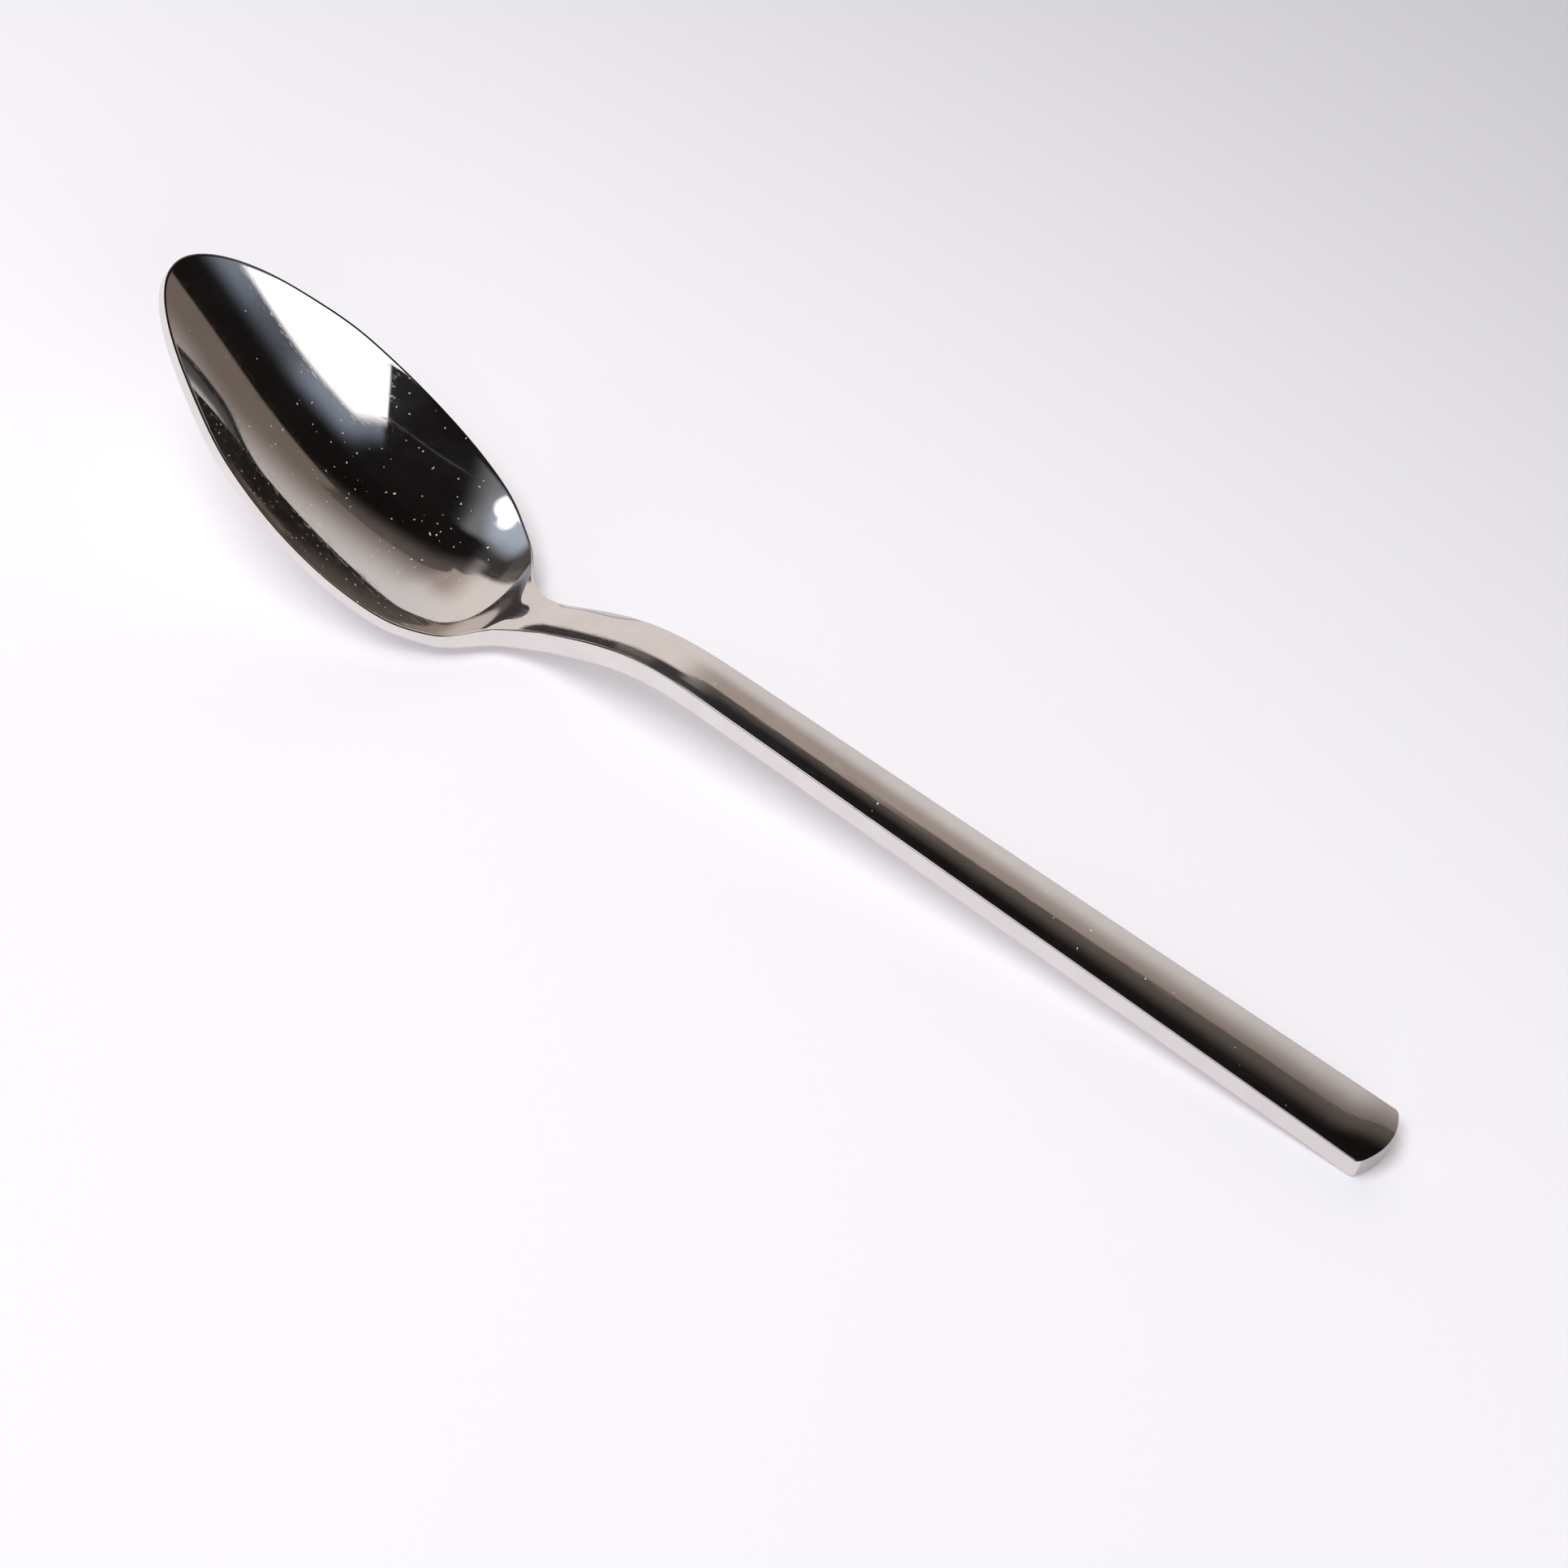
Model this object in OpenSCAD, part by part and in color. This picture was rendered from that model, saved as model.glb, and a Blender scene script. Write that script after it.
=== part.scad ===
// Teaspoon, forged in one piece from thick plate: an oval bowl tipped well up,
// a slim square-shouldered neck that rises from the heel of the bowl, and a
// straight handle that widens gently down to a rounded end.
//
// The metal is described as a flat blank and then bent. A station is a distance
// along the blank from the tip of the bowl, measured through the middle of its
// upper edges. Across the blank, y runs to either side and h runs square to it.
// The spoon is then laid down on the heel of its bowl and the end of its handle.

/* [Overall] */
// Length of the blank from the tip of the bowl to the end of the handle
blank_length = 148; // [140:0.5:155]

/* [Bowl] */
// Length of the blank from the tip of the bowl to the start of the neck
bowl_length = 52; // [48:0.5:56]
// Width of the bowl over its rim
bowl_width = 22.2; // [20:0.1:24]
// Depth of the hollow below the rim
bowl_depth = 4.7; // [4:0.1:6]
// Height of the side wall round the rim
rim_height = 1.9; // [1.6:0.05:2.2]
// Thickness of the metal at the bottom of the hollow
floor_thickness = 1.5; // [1.2:0.05:1.8]

/* [Neck] */
// Width of the neck at its narrowest
neck_width = 4.4; // [4:0.1:5.2]
// Height of the dome on top of the neck and the handle above their edges
dome_height = 0.45; // [0.3:0.05:0.6]

/* [Handle] */
// Width of the handle at its end
end_width = 6.8; // [6:0.1:8]
// Height of the side wall along the neck and the handle
side_height = 2.7; // [2.3:0.05:3]
// How far the middle of the end stands out past its corners
end_arc = 1; // [0.8:0.05:1.5]
// Radius of the two corners of the end, seen from above
end_corner = 0.3; // [0.2:0.05:1]
// Size of the softened edges all round
edge_size = 0.3; // [0.2:0.01:0.35]

/* [Bend] */
// Slope of the rim at the tip, in degrees
tip_tilt = 33.7; // [31:0.1:36]
// Slope of the rim beside the deepest part of the bowl, in degrees
belly_tilt = 38.1; // [35:0.1:40]
// Slope of the rim towards the heel, in degrees
heel_tilt = 28; // [26:0.1:31]
// Rise of the neck out of the heel, in degrees
neck_rise = 27.2; // [25:0.1:30]
// Fall of the straight handle towards its end, in degrees
handle_fall = 7.3; // [5.5:0.1:8]
// Length of the blank over which the neck turns over into the handle
crank_length = 23.3; // [20:0.1:26]

/* [Hidden] */
polished_steel = "silver";

// Outline of the bowl: place along the bowl, and square of the half width
outline_shares = [
    [0, 0], [0.08, 0.232], [0.155, 0.435], [0.23, 0.627], [0.31, 0.82],
    [0.385, 0.93], [0.46, 0.994], [0.54, 1.008], [0.615, 0.968], [0.69, 0.864],
    [0.75, 0.717], [0.8, 0.516], [0.84, 0.33], [0.875, 0.13], [0.92, 0.03],
    [1, 0]
];
// Places along the bowl where the slope of the rim starts and ends its changes
belly_from_share = 0.04;
belly_full_share = 0.22;
heel_full_share = 0.78;
rise_from_share = 0.715;
rise_full_share = 1.025;
// Places along the bowl where the hollow starts to fade and is gone
hollow_fade_share = 0.84;
hollow_end_share = 0.96;
// Places along the bowl where the dome and the full side height start and are full
dome_from_share = 0.86;
dome_full_share = 1.02;
side_from_share = 0.43;
side_full_share = 1.41;
// Place along the bowl by which the width of the neck counts in full
neck_in_share = 0.85;
// Place along the bowl where the bowl ends and the neck piece starts
bowl_cut_share = 0.94;
// Reach of the fan of lines that fills the tip, and its shift along the middle
fan_reach_share = 0.3;
fan_shift_share = 0.07;
// Length of the handle over which its end gathers into its arc
gather_length = 8 * end_arc;

// Number of lines round the tip, across the heel, along the neck and the handle
tip_lines = 26;
heel_lines = 20;
neck_lines = 27;
handle_lines = 12;
end_lines = 9;
// Number of points from the edge to the middle of each line
half_points = round(8);

bowl_half = bowl_width / 2;
neck_half = neck_width / 2;
end_half = end_width / 2;
rise_full = rise_full_share * bowl_length;
crank_full = rise_full + crank_length;
bowl_cut = bowl_cut_share * bowl_length;

// Step from 0 to 1 with no kink at either end
function smooth(v) = let (c = min(max(v, 0), 1)) c * c * c * (10 - 15 * c + 6 * c * c);
function ramp(s, a, b) = smooth((s - a) / (b - a));

// Natural cubic spline through points [u, v]: its second derivatives, then its value
function spline_slope(p, i) = (p[i + 1][1] - p[i][1]) / (p[i + 1][0] - p[i][0]);
function spline_gap(p, i) = p[i + 1][0] - p[i][0];
function spline_rows(p) = [
    for (i = 0, c = 0, d = 0; i < len(p) - 1; i = i + 1,
        q = i < len(p) - 1 ? 2 * (spline_gap(p, i - 1) + spline_gap(p, i)) - spline_gap(p, i - 1) * c : 1,
        d = i < len(p) - 1 ? (6 * (spline_slope(p, i) - spline_slope(p, i - 1)) - spline_gap(p, i - 1) * d) / q : 0,
        c = i < len(p) - 1 ? spline_gap(p, i) / q : 0)
    [c, d]
];
function spline_bends(p) =
    let (rows = spline_rows(p), n = len(p))
    [for (i = n - 1, m = 0; i >= 0; i = i - 1, m = i > 0 ? rows[i][1] - rows[i][0] * m : 0) m];
function spline_at(p, bends, u) =
    let (
        n = len(p),
        i = max([for (k = [0 : n - 2]) p[k][0] <= u ? k : 0]),
        g = spline_gap(p, i),
        t = (u - p[i][0]) / g,
        r = 1 - t,
        m0 = bends[n - 1 - i],
        m1 = bends[n - 2 - i]
    )
    p[i][1] * r + p[i + 1][1] * t + g * g * ((r * r * r - r) * m0 + (t * t * t - t) * m1) / 6;

outline_bends = spline_bends(outline_shares);

// Slope of the blank at station s, in degrees, upwards positive
function slope(s) =
    -tip_tilt
    + (tip_tilt - belly_tilt) * ramp(s, belly_from_share * bowl_length, belly_full_share * bowl_length)
    + (belly_tilt - heel_tilt) * ramp(s, belly_full_share * bowl_length, heel_full_share * bowl_length)
    + (heel_tilt + neck_rise) * ramp(s, rise_from_share * bowl_length, rise_full)
    - (neck_rise + handle_fall) * ramp(s, rise_full, crank_full);

// Square of the half width of the blank at station s
function half_square(s) =
    let (
        u = s / bowl_length,
        along = min(max((s - bowl_length) / (blank_length - bowl_length), 0), 1),
        strip = neck_half + (end_half - neck_half) * along,
        leaf = u < 1 ? max(spline_at(outline_shares, outline_bends, u), 0) : 0,
        stem = strip * strip * smooth(u / neck_in_share)
    )
    stem + (bowl_half * bowl_half - stem) * leaf;

// Half width, with the corners of the end rounded off
function half_width(s) =
    let (v = min(max((s - blank_length + end_corner) / end_corner, 0), 1))
    sqrt(max(half_square(s), 0)) - end_corner * (1 - sqrt(1 - v * v));

// Height of the side wall
function wall(s) =
    rim_height + (side_height - rim_height)
        * ramp(s, side_from_share * bowl_length, side_full_share * bowl_length);

// Share of the hollow that is left at station s, and its curve per square millimetre
function hollow(s) = 1 - ramp(s, hollow_fade_share * bowl_length, hollow_end_share * bowl_length);
hollow_curve = bowl_depth / (bowl_half * bowl_half);
outer_curve = (bowl_depth + floor_thickness - rim_height) / (bowl_half * bowl_half);

// Height of the upper and the lower face over the blank's upper edges
function upper(s, y) =
    let (q = max(half_square(s) - y * y, 0), d = ramp(s, dome_from_share * bowl_length, dome_full_share * bowl_length))
    (d > 0 ? dome_height * d * q / half_square(s) : 0) - hollow_curve * hollow(s) * q;
function lower(s, y) =
    -wall(s) - outer_curve * hollow(s) * max(half_square(s) - y * y, 0);

// Middle of the blank after bending: [x, z] at even steps, added up from its slope
bend_steps = 360;
bend_step = blank_length / bend_steps;
bend_line = [
    for (i = 0, x = 0, z = 0; i <= bend_steps; i = i + 1,
        x = x + bend_step * cos(slope((i - 0.5) * bend_step)),
        z = z + bend_step * sin(slope((i - 0.5) * bend_step)))
    [x, z]
];
function bend_at(s) =
    let (
        i = min(max(floor(s / bend_step), 0), bend_steps - 1),
        t = s / bend_step - i
    )
    bend_line[i] * (1 - t) + bend_line[i + 1] * t;
// Point of the bent blank at station s, distance y across and height h
function bent(s, y, h) =
    let (c = bend_at(s), a = slope(s))
    [c[0] - h * sin(a), y, c[1] + h * cos(a)];

// Laying down: turn by angle a about y, upwards end first
function turned(p, a) = [p[0] * cos(a) + p[2] * sin(a), p[1], -p[0] * sin(a) + p[2] * cos(a)];
function lowest(points, a) =
    let (q = [for (p = points) turned(p, a)], z = min([for (p = q) p[2]]))
    [for (p = q) if (p[2] == z) p][0];
heel_points = [
    for (i = [0 : 60])
        let (s = bowl_length * (0.4 + 0.6 * i / 60))
        bent(s, 0, lower(s, 0))
];
end_points = [bent(blank_length, 0, lower(blank_length, 0))];
function rest_angle(a, turns) =
    turns == 0 ? a :
    let (b = lowest(heel_points, a), e = lowest(end_points, a))
    rest_angle(a + atan((e[2] - b[2]) / (e[0] - b[0])), turns - 1);
lay_angle = rest_angle(0, 4);
lay_down = lowest(heel_points, lay_angle)[2];

// Outward direction of the outline, seen from above, at station s
function outward(s) =
    let (
        d = 0.002 * bowl_length,
        g = (half_square(s + d) - half_square(max(s - d, 0))) / (s + d - max(s - d, 0)),
        y = 2 * half_width(s),
        n = sqrt(g * g + y * y)
    )
    s > bowl_cut ? [0, 1] : [-g / n, y / n];

// Station on the middle line that the line from rim station s runs to
function fan_foot(s) =
    let (r = 1 - s / (fan_reach_share * bowl_length))
    s + (r > 0 ? fan_shift_share * bowl_length * r * r * r : 0);

// Shift of a point of a line near the end of the handle back along the arc
function arc_shift(s, y) =
    let (e = half_width(blank_length))
    end_arc * ramp(s, blank_length - gather_length, blank_length) * y * y / (e * e);

// One side of a line, edge to middle: [station, y] at inset points
function half_line(s) =
    let (
        n = outward(s),
        w = half_width(s),
        a = [s - edge_size * n[0], w - edge_size * n[1]],
        b = [fan_foot(s), 0]
    )
    [for (i = [0 : half_points]) let (t = i / half_points, q = a * (1 - t) + b * t) q];
// Softened edge, upper then lower: [station, y, h]
edge_shares = [[0.3, 0.1], [0, 0.45]];
function edge_points(s) =
    let (n = outward(s), w = half_width(s), t = wall(s))
    concat(
        [for (e = edge_shares) [s - e[0] * edge_size * n[0], w - e[0] * edge_size * n[1], -e[1] * edge_size]],
        [for (i = [1, 0]) let (e = edge_shares[i])
            [s - e[0] * edge_size * n[0], w - e[0] * edge_size * n[1], e[1] * edge_size - t]]
    );
function placed(s, y, h) =
    let (q = turned(bent(s - arc_shift(s, y), y, h), lay_angle))
    [q[0], q[1], q[2] - lay_down];

// Closed ring of points at a line: upper face near to far, far edge, lower face, near edge
function ring(s) =
    let (
        line = half_line(s),
        m = half_points,
        row = concat(
            [for (i = [0 : m]) [line[i][0], -line[i][1]]],
            [for (i = [m - 1 : -1 : 0]) line[i]]
        ),
        edge = edge_points(s)
    )
    concat(
        [for (q = row) placed(q[0], q[1], upper(q[0], q[1]))],
        [for (e = edge) placed(e[0], e[1], e[2])],
        [for (i = [2 * m : -1 : 0]) placed(row[i][0], row[i][1], lower(row[i][0], row[i][1]))],
        [for (i = [len(edge) - 1 : -1 : 0]) placed(edge[i][0], -edge[i][1], edge[i][2])]
    );
ring_size = 2 * (2 * half_points + 1) + 2 * 2 * len(edge_shares);

// Triangles between two rings that start at points a and b
function skin(a, b) = [
    for (i = [0 : ring_size - 1])
        let (j = (i + 1) % ring_size)
        each [[a + i, b + j, b + i], [a + i, a + j, b + j]]
];
// Triangles over one flat end: strips between the upper and the lower row
function cap(a) =
    let (m = 2 * half_points, e = 2 * len(edge_shares), low = m + 1 + e)
    concat(
        [for (i = [0 : m - 1]) each [[a + i, a + i + 1, a + low + m - i - 1], [a + i, a + low + m - i - 1, a + low + m - i]]],
        [for (i = [0 : e - 1]) [a + m + i, a + m + i + 1, a + low]],
        [for (i = [0 : e - 1]) [a, a + low + m + i, a + low + m + i + 1 < a + ring_size ? a + low + m + i + 1 : a + i]]
    );
function turned_over(faces) = [for (f = faces) [f[2], f[1], f[0]]];

// Solid through rings at the listed stations, closed by a flat cap at each end
module strip(stations) {
    n = len(stations);
    polyhedron(
        points = [for (s = stations) each ring(s)],
        faces = concat(
            turned_over(cap(0)),
            [for (k = [0 : n - 2]) each skin(k * ring_size, (k + 1) * ring_size)],
            cap((n - 1) * ring_size)
        )
    );
}

// Points of the tip line, kept once: upper face, edge, lower face
tip_count = 2 * (half_points + 1) + 2 * len(edge_shares);
tip_points =
    let (line = half_line(0), edge = edge_points(0))
    concat(
        [for (q = line) placed(q[0], 0, upper(q[0], 0))],
        [for (e = edge) placed(e[0], 0, e[2])],
        [for (q = line) placed(q[0], 0, lower(q[0], 0))]
    );
// Point of the tip line that stands for point i of a ring
function tip_index(i) =
    let (m = half_points, e = 2 * len(edge_shares))
    i <= 2 * m ? m - abs(m - i) :
    i <= 2 * m + e ? m + i - 2 * m :
    i <= 4 * m + 1 + e ? m + 1 + e + m - abs(i - 3 * m - 1 - e) :
    m + 4 * m + 2 + 2 * e - i;

// Whether a ring's point i lies on its way from an edge to the middle
function runs_inward(i) =
    let (low = 2 * half_points + 1 + 2 * len(edge_shares))
    i < half_points || (i >= low && i < low + half_points);

// Solid of the bowl: the tip line, then rings down to the cut before the neck
module leaf(stations) {
    n = len(stations);
    polyhedron(
        points = concat(tip_points, [for (s = stations) each ring(s)]),
        faces = concat(
            [for (i = [0 : ring_size - 1])
                let (j = (i + 1) % ring_size, a = tip_index(i), b = tip_index(j))
                each runs_inward(i)
                    ? [[a, b, tip_count + i], [b, tip_count + j, tip_count + i]]
                    : [[a, tip_count + j, tip_count + i], [a, b, tip_count + j]]],
            [for (k = [0 : n - 2])
                each skin(tip_count + k * ring_size, tip_count + (k + 1) * ring_size)],
            cap(tip_count + (n - 1) * ring_size)
        )
    );
}

tip_zone = 0.58 * bowl_length;
bowl_stations = concat(
    [for (i = [1 : tip_lines]) tip_zone * pow(i / tip_lines, 1.6)],
    [for (i = [1 : heel_lines]) tip_zone + (bowl_cut - tip_zone) * i / heel_lines]
);
neck_stations = [
    for (i = [0 : neck_lines])
        bowl_cut + (crank_full - bowl_cut) * i / neck_lines
];
end_zone = blank_length - gather_length;
handle_stations = concat(
    [for (i = [0 : handle_lines]) crank_full + (end_zone - crank_full) * i / handle_lines],
    [for (i = [1 : end_lines]) end_zone + (blank_length - end_corner - end_zone) * i / end_lines],
    [for (i = [1 : 5]) blank_length - end_corner * (1 - sin(18 * i))]
);

// Middle of the whole spoon along x, so that it stands over the origin
all_x = [
    for (s = [0, blank_length]) each [for (q = s == 0 ? tip_points : ring(s)) q[0]],
    for (s = [bowl_stations[0], bowl_stations[1], bowl_stations[2]]) each [for (q = ring(s)) q[0]]
];
middle_x = (min(all_x) + max(all_x)) / 2;

module bowl() {
    color(polished_steel) translate([-middle_x, 0, 0]) leaf(bowl_stations);
}
module neck() {
    color(polished_steel) translate([-middle_x, 0, 0]) strip(neck_stations);
}
module handle() {
    color(polished_steel) translate([-middle_x, 0, 0]) strip(handle_stations);
}

bowl();
neck();
handle();
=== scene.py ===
# %% [markdown]
# # A polished teaspoon on a pale table
#
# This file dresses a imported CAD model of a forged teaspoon. The CAD solids give the size and the
# place of every zone of the spoon. Here each zone gets a much finer skin of the same form, a
# mirror-polished steel with fine wear, and the studio that the steel reflects.

# %% Load the model
import math

import bpy
import numpy as np
from mathutils import Matrix


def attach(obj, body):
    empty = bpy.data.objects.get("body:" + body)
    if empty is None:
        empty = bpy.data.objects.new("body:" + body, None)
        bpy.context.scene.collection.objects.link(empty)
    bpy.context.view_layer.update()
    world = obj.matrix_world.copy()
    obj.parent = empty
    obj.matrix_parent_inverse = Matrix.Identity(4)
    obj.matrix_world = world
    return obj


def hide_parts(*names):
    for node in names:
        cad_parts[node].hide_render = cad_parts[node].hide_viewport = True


MM_PER_M = 1000

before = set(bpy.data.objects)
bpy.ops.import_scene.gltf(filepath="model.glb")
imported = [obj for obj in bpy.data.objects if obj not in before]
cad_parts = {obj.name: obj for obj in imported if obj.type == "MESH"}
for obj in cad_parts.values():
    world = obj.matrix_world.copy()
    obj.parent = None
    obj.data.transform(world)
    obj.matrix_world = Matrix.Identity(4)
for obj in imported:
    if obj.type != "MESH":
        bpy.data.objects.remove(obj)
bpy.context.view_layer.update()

# %% [markdown]
# ## The camera
#
# The spoon lies along x with its bowl at the left, and the photograph looks down on it from the
# front right. A camera can be placed by eye, but a spoon's thin outline shows every degree, so the
# view was worked out from the outline: a long lens, 53 degrees above the table and 37 degrees
# round from the front. The camera stands on the line from the aim point back along that view.

# %% Place the camera
FOCAL_PIXELS = 5000.0
IMAGE_PIXELS = 1932.0
SENSOR_MM = 36.0
NEAR_CLIP = 0.01
VIEW_UP = math.radians(53.374)
VIEW_ROUND = math.radians(37.046)
AIM = np.array([2.73, 1.03, 0.0]) / MM_PER_M
REACH = 383.45 / MM_PER_M

camera_data = bpy.data.cameras.new("camera")
camera_data.sensor_width = SENSOR_MM
camera_data.lens = SENSOR_MM * FOCAL_PIXELS / IMAGE_PIXELS
camera_data.clip_start = NEAR_CLIP
camera = bpy.data.objects.new("camera", camera_data)
bpy.context.scene.collection.objects.link(camera)
back = np.array([
    math.sin(VIEW_ROUND) * math.cos(VIEW_UP),
    -math.cos(VIEW_ROUND) * math.cos(VIEW_UP),
    math.sin(VIEW_UP),
])
camera.location = AIM + REACH * back
camera.rotation_euler = (math.pi / 2 - VIEW_UP, 0, VIEW_ROUND)
bpy.context.scene.camera = camera
bpy.context.scene.view_settings.view_transform = "Standard"
print("camera at", [round(v, 4) for v in camera.location], "lens", round(camera_data.lens, 2), "mm")

# %% [markdown]
# ## Shader maths in plain Python
#
# Blender builds a material from nodes and links. Written out, a short formula becomes dozens of
# lines. The class below wraps one output of a node, so that `a * 0.5 + b` adds the Math nodes by
# itself, and one method adds any other node. A step is a soft change from 0 to 1 between two
# values, or from 1 to 0 where the first value is the larger one.

# %% Wrap a socket
class Wire:
    def __init__(self, tree, socket):
        self.tree = tree
        self.socket = socket

    def node(self, kind, settings=None, inputs=None, output=0):
        made = self.tree.nodes.new(kind)
        for name, value in (settings or {}).items():
            setattr(made, name, value)
        for key, value in (inputs or {}).items():
            if isinstance(value, Wire):
                self.tree.links.new(value.socket, made.inputs[key])
            else:
                made.inputs[key].default_value = value
        return Wire(self.tree, made.outputs[output])

    def maths(self, operation, *values):
        return self.node("ShaderNodeMath", {"operation": operation}, dict(enumerate(values)))

    def __add__(self, other):
        return self.maths("ADD", self, other)

    __radd__ = __add__

    def __sub__(self, other):
        return self.maths("SUBTRACT", self, other)

    def __rsub__(self, other):
        return self.maths("SUBTRACT", other, self)

    def __mul__(self, other):
        return self.maths("MULTIPLY", self, other)

    __rmul__ = __mul__

    def step(self, low, high):
        return self.node(
            "ShaderNodeMapRange",
            {"interpolation_type": "SMOOTHERSTEP"},
            {"Value": self, "From Min": low, "From Max": high},
        )

    def blend(self, first, second):
        return self.node(
            "ShaderNodeMix",
            {"data_type": "RGBA"},
            {0: self, 6: first, 7: second},
            output=2,
        )


def axes_of(vector):
    parts = vector.node("ShaderNodeSeparateXYZ", None, {0: vector})
    return [Wire(vector.tree, parts.socket.node.outputs[i]) for i in range(3)]


print("shader wrapper ready")

# %% [markdown]
# ## The table
#
# The spoon lies on smooth pale paper, almost white in front, which falls off to grey behind and
# to dark past the edge of the light. That fall-off is painted shade, laid into the paper's colour
# and glow. Such paper could be a plain white plane, but the steel mirrors it, so its tone matters
# everywhere. A small part of its light is given by the sheet itself, as on a light table. That
# keeps the shadows soft and shallow.

# %% Table
TABLE_SIDE = 3.2
BLACK = (0, 0, 0, 1)
PAPER = (0.97, 0.95, 0.985, 1)
PAPER_GLOW = 0.14
PAPER_ROUGHNESS = 0.8
PAPER_SHEEN = 0.1
BACK_PAINTED_DARKENING = 0.44
FAR_PAINTED_DARKENING = 0.44
RIGHT_PAINTED_DARKENING = 0.04


# Painted shade: the paper grows darker towards the back, a little towards the right, and nearly black
# past the far edge of the light.
def painted_paper_shade(place):
    x, y = axes_of(place)[:2]
    back_painted_shade = y.step(-0.04, 0.22) * BACK_PAINTED_DARKENING
    right_painted_shade = x.step(-0.05, 0.12) * RIGHT_PAINTED_DARKENING
    far_painted_shade = y.step(0.13, 0.26) * x.step(-0.2, -0.02) * FAR_PAINTED_DARKENING
    return 1.0 - back_painted_shade - right_painted_shade - far_painted_shade


def pale_table():
    reach = TABLE_SIDE / 2
    corners = [(-reach, -reach, 0), (reach, -reach, 0), (reach, reach, 0), (-reach, reach, 0)]
    mesh = bpy.data.meshes.new("table")
    mesh.from_pydata(corners, [], [(0, 1, 2, 3)])
    table = bpy.data.objects.new("table", mesh)
    bpy.context.scene.collection.objects.link(table)
    material = bpy.data.materials.new("pale_paper")
    material.use_nodes = True
    tree = material.node_tree
    shader = tree.nodes["Principled BSDF"]
    place = Wire(tree, None).node("ShaderNodeTexCoord", output="Object")
    # The painted shade darkens both the paper's colour and its glow.
    colour = painted_paper_shade(place).blend(BLACK, PAPER)
    tree.links.new(colour.socket, shader.inputs["Base Color"])
    tree.links.new(colour.socket, shader.inputs["Emission Color"])
    shader.inputs["Emission Strength"].default_value = PAPER_GLOW
    shader.inputs["Roughness"].default_value = PAPER_ROUGHNESS
    shader.inputs["Specular IOR Level"].default_value = PAPER_SHEEN
    mesh.materials.append(material)
    print("table", TABLE_SIDE, "m square")


pale_table()

# %% [markdown]
# ## The studio
#
# A mirror shows its surroundings, so the look of polished steel is made mostly by the room. Lamps
# alone would leave the steel black between their reflections. Here the room is painted on the
# world, direction by direction, as a photographer hangs cards and cloths around a table. A
# direction is a point on a ball around the spoon: x to its right, y behind it and z above. A step
# in one of them gives a card one soft edge, and the product of two or three steps its whole form.

# %% Directions
def toward(round_degrees, up_degrees):
    a, b = math.radians(round_degrees), math.radians(up_degrees)
    return (math.cos(a) * math.cos(b), math.sin(a) * math.cos(b), math.sin(b))


class View:
    def __init__(self, tree):
        place = Wire(tree, None).node("ShaderNodeTexCoord", output="Generated")
        direction = place.node("ShaderNodeVectorMath", {"operation": "NORMALIZE"}, {0: place})
        self.x, self.y, self.z = axes_of(direction)

    def along(self, direction):
        return self.x * direction[0] + self.y * direction[1] + self.z * direction[2]

    def spot(self, round_degrees, up_degrees, inner, outer):
        across = self.along(toward(round_degrees, up_degrees))
        return across.step(math.cos(math.radians(outer)), math.cos(math.radians(inner)))


print("straight up is", toward(0, 90))

# %% [markdown]
# The dark part of the room comes first: a cloth under the ceiling, a brown wall behind that turns
# pale towards the table, and a left side with a light card and a dark corner. Later cards cover
# earlier ones. A slanting edge is a plane through the spoon, given by the direction that stands
# square on it.

# %% Cloth, walls and corner
CEILING = (0.008, 0.007, 0.0065, 1)
CLOTH_ABOVE, CLOTH_BEHIND = (0.006, 0.005, 0.005, 1), (0.115, 0.10, 0.09, 1)
FAR_BROWN, FAR_PALE = (0.19, 0.155, 0.135, 1), (0.73, 0.71, 0.71, 1)
LEFT_BROWN, LEFT_PALE = (0.43, 0.37, 0.335, 1), (0.74, 0.72, 0.73, 1)
GREY_CARD = (0.20, 0.21, 0.23, 1)
DARK_CARD = (0.06, 0.06, 0.065, 1)
LIGHT_CARD = (0.84, 0.79, 0.77, 1)
CORNER_CARD = (0.05, 0.045, 0.045, 1)
SKIRTING = (0.02, 0.02, 0.02, 1)
WALL_SQUARE = (-0.63, 0.64, -0.43)
WALL_TURN = 0.7
CORNER_LIFT = 0.12


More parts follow.
